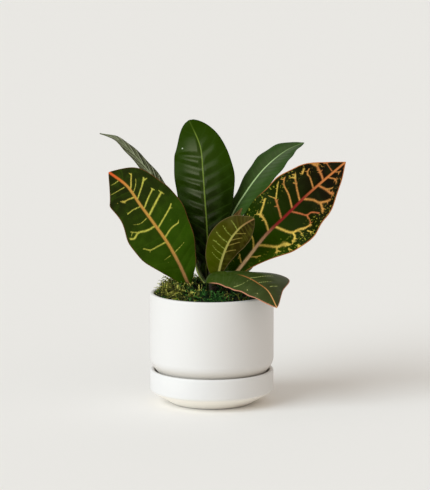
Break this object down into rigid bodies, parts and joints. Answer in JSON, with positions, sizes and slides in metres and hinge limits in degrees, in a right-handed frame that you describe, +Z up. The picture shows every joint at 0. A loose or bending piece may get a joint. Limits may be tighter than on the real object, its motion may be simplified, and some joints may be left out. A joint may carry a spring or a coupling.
{
  "type": "potted croton",
  "caption": "Potted croton: broad leathery leaves with yellow and red veins on one short stem, in a mossed white ceramic cylinder pot with a footed saucer.",
  "frame": {"origin": "centre of the saucer's flat underside, on the surface the saucer stands on", "axes": "+Z up along the pot's axis; -Y is the front, towards the viewer; +X is to the viewer's right"},
  "size_m": [0.2512, 0.1889, 0.2865],
  "materials": {
    "saucer_ceramic": "matte white glaze, cream towards the foot",
    "pot_ceramic": "matte white glaze",
    "soil": "dark loose potting soil",
    "moss": "curled moss, deep green to straw yellow",
    "stem": "grey green young bark",
    "leaf_left": "dark green leaf, yellow side veins, orange midrib, satin",
    "leaf_far_left": "green leaf, pale midrib, satin",
    "leaf_centre": "very dark green leaf, yellow green midrib, satin",
    "leaf_far_right": "mid green leaf, pale green midrib, satin",
    "leaf_right": "dark green leaf, net of yellow veins, crimson midrib, salmon margin, satin",
    "leaf_young": "olive bronze leaf, tan midrib, satin",
    "leaf_low_front": "grey green leaf, red margin, orange midrib, satin",
    "leaf_back": "dark green leaf, satin",
    "shoot_tip": "brown pink young leaf, satin"
  },
  "bodies": {
    "root": {"saucer": "saucer_ceramic", "pot": "pot_ceramic", "soil": "soil", "moss": "moss", "stem": "stem", "leaf_left": "leaf_left", "leaf_far_left": "leaf_far_left", "leaf_centre": "leaf_centre", "leaf_far_right": "leaf_far_right", "leaf_right": "leaf_right", "leaf_young": "leaf_young", "leaf_low_front": "leaf_low_front", "leaf_back": "leaf_back", "shoot_tip": "shoot_tip"}
  },
  "joints": []
}
